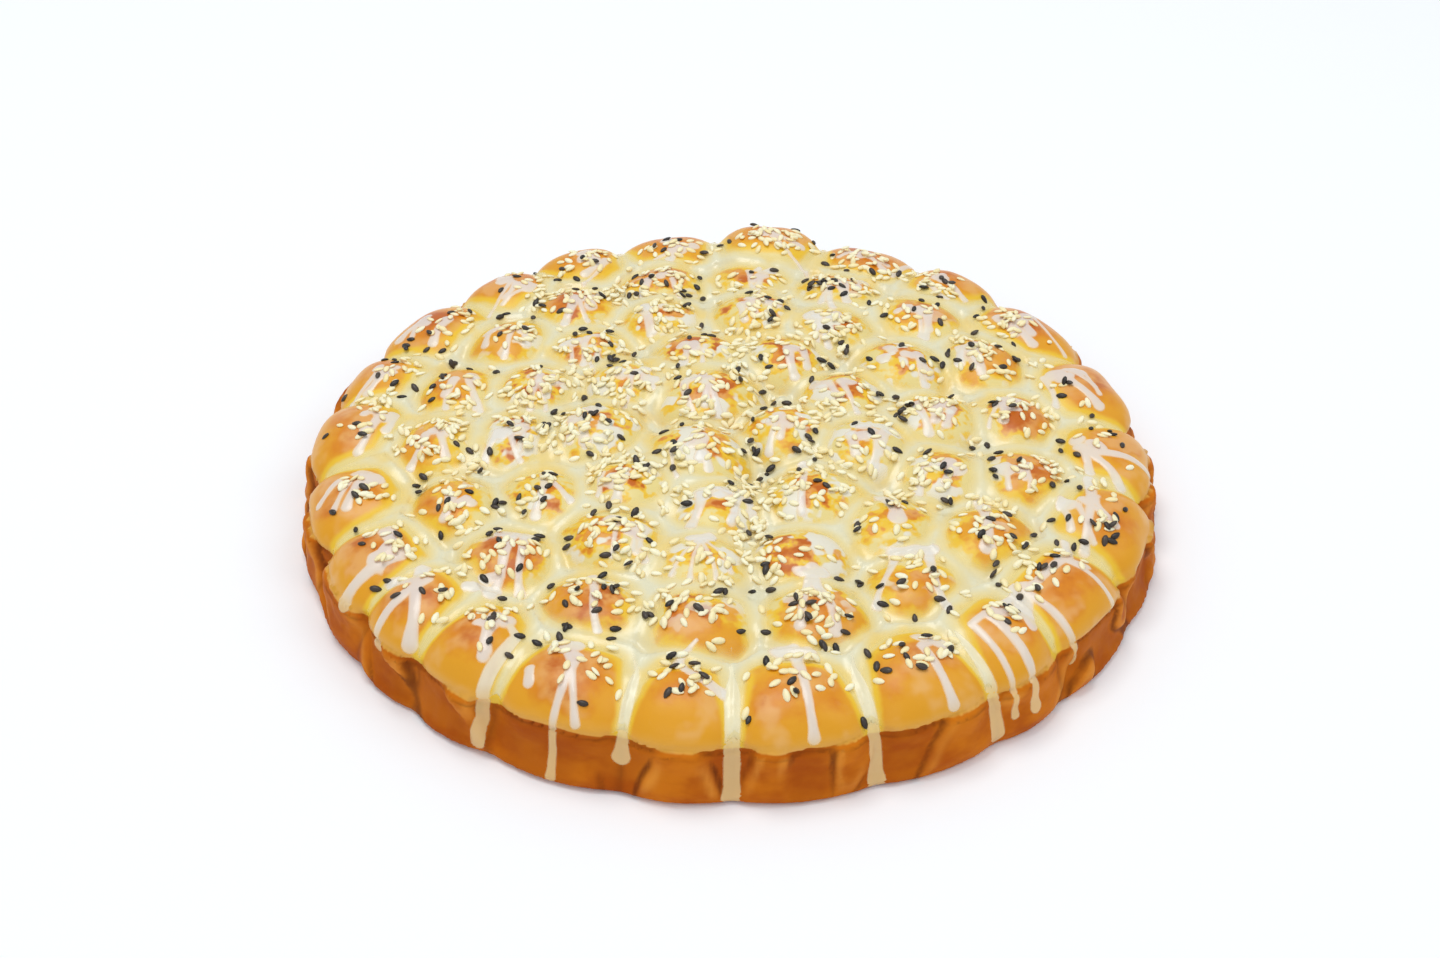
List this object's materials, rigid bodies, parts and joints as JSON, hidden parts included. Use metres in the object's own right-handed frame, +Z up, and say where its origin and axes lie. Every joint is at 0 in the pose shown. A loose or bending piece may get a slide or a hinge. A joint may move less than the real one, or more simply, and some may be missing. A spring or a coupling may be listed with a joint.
{
  "type": "honeycomb bun",
  "caption": "Flat round of small dough balls baked together in a pan, with thin glaze running down its side and pale and black seeds on top",
  "frame": {"origin": "The middle of the flat underside, where the round rests", "axes": "+Z up out of the top, -Y to the side that the picture shows in front, +X to the picture's right. Metres."},
  "size_m": [0.2344, 0.2362, 0.029],
  "materials": {
    "crust": "golden brown baked crust, shiny on top under a thin syrup",
    "glaze": "thin creamy white glaze, wet looking and slightly see-through",
    "white_seed": "hulled sesame, smooth and satin",
    "black_seed": "small black seed, dull and slightly rough"
  },
  "bodies": {
    "root": {"bun": "crust"}
  },
  "joints": []
}
